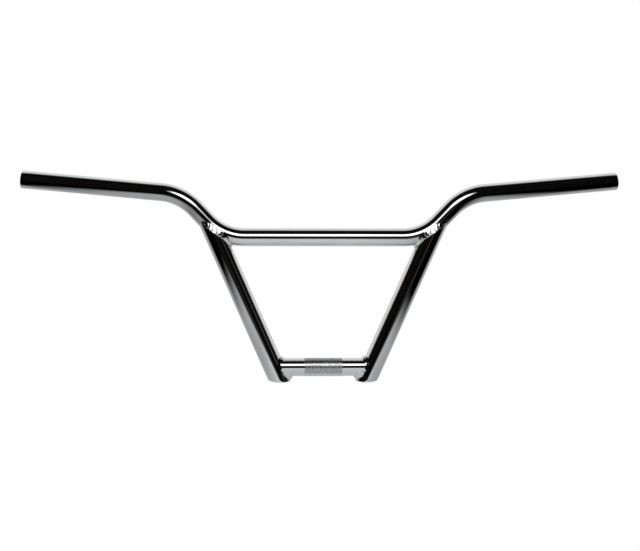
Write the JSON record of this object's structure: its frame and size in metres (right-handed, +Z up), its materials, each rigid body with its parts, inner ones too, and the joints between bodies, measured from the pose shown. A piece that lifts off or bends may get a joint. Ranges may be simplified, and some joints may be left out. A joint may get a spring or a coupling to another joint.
{
  "type": "bmx handlebar",
  "caption": "Chromed steel BMX handlebar: a bent top bar on two splayed legs, with a knurled clamp bar welded between them.",
  "frame": {"origin": "middle of the clamp bar, on its axis", "axes": "+X along the clamp bar to the rider's left, +Y back towards the rider, +Z up"},
  "size_m": [0.7408, 0.0621, 0.2571],
  "materials": {
    "chrome": "mirror plated",
    "weld_chrome": "plated over the weld's ripples"
  },
  "bodies": {
    "root": {"top_bar": "chrome", "left_leg": "chrome", "right_leg": "chrome", "clamp_bar": "chrome", "left_leg_cap": "chrome", "right_leg_cap": "chrome", "weld_beads": "weld_chrome"}
  },
  "joints": []
}
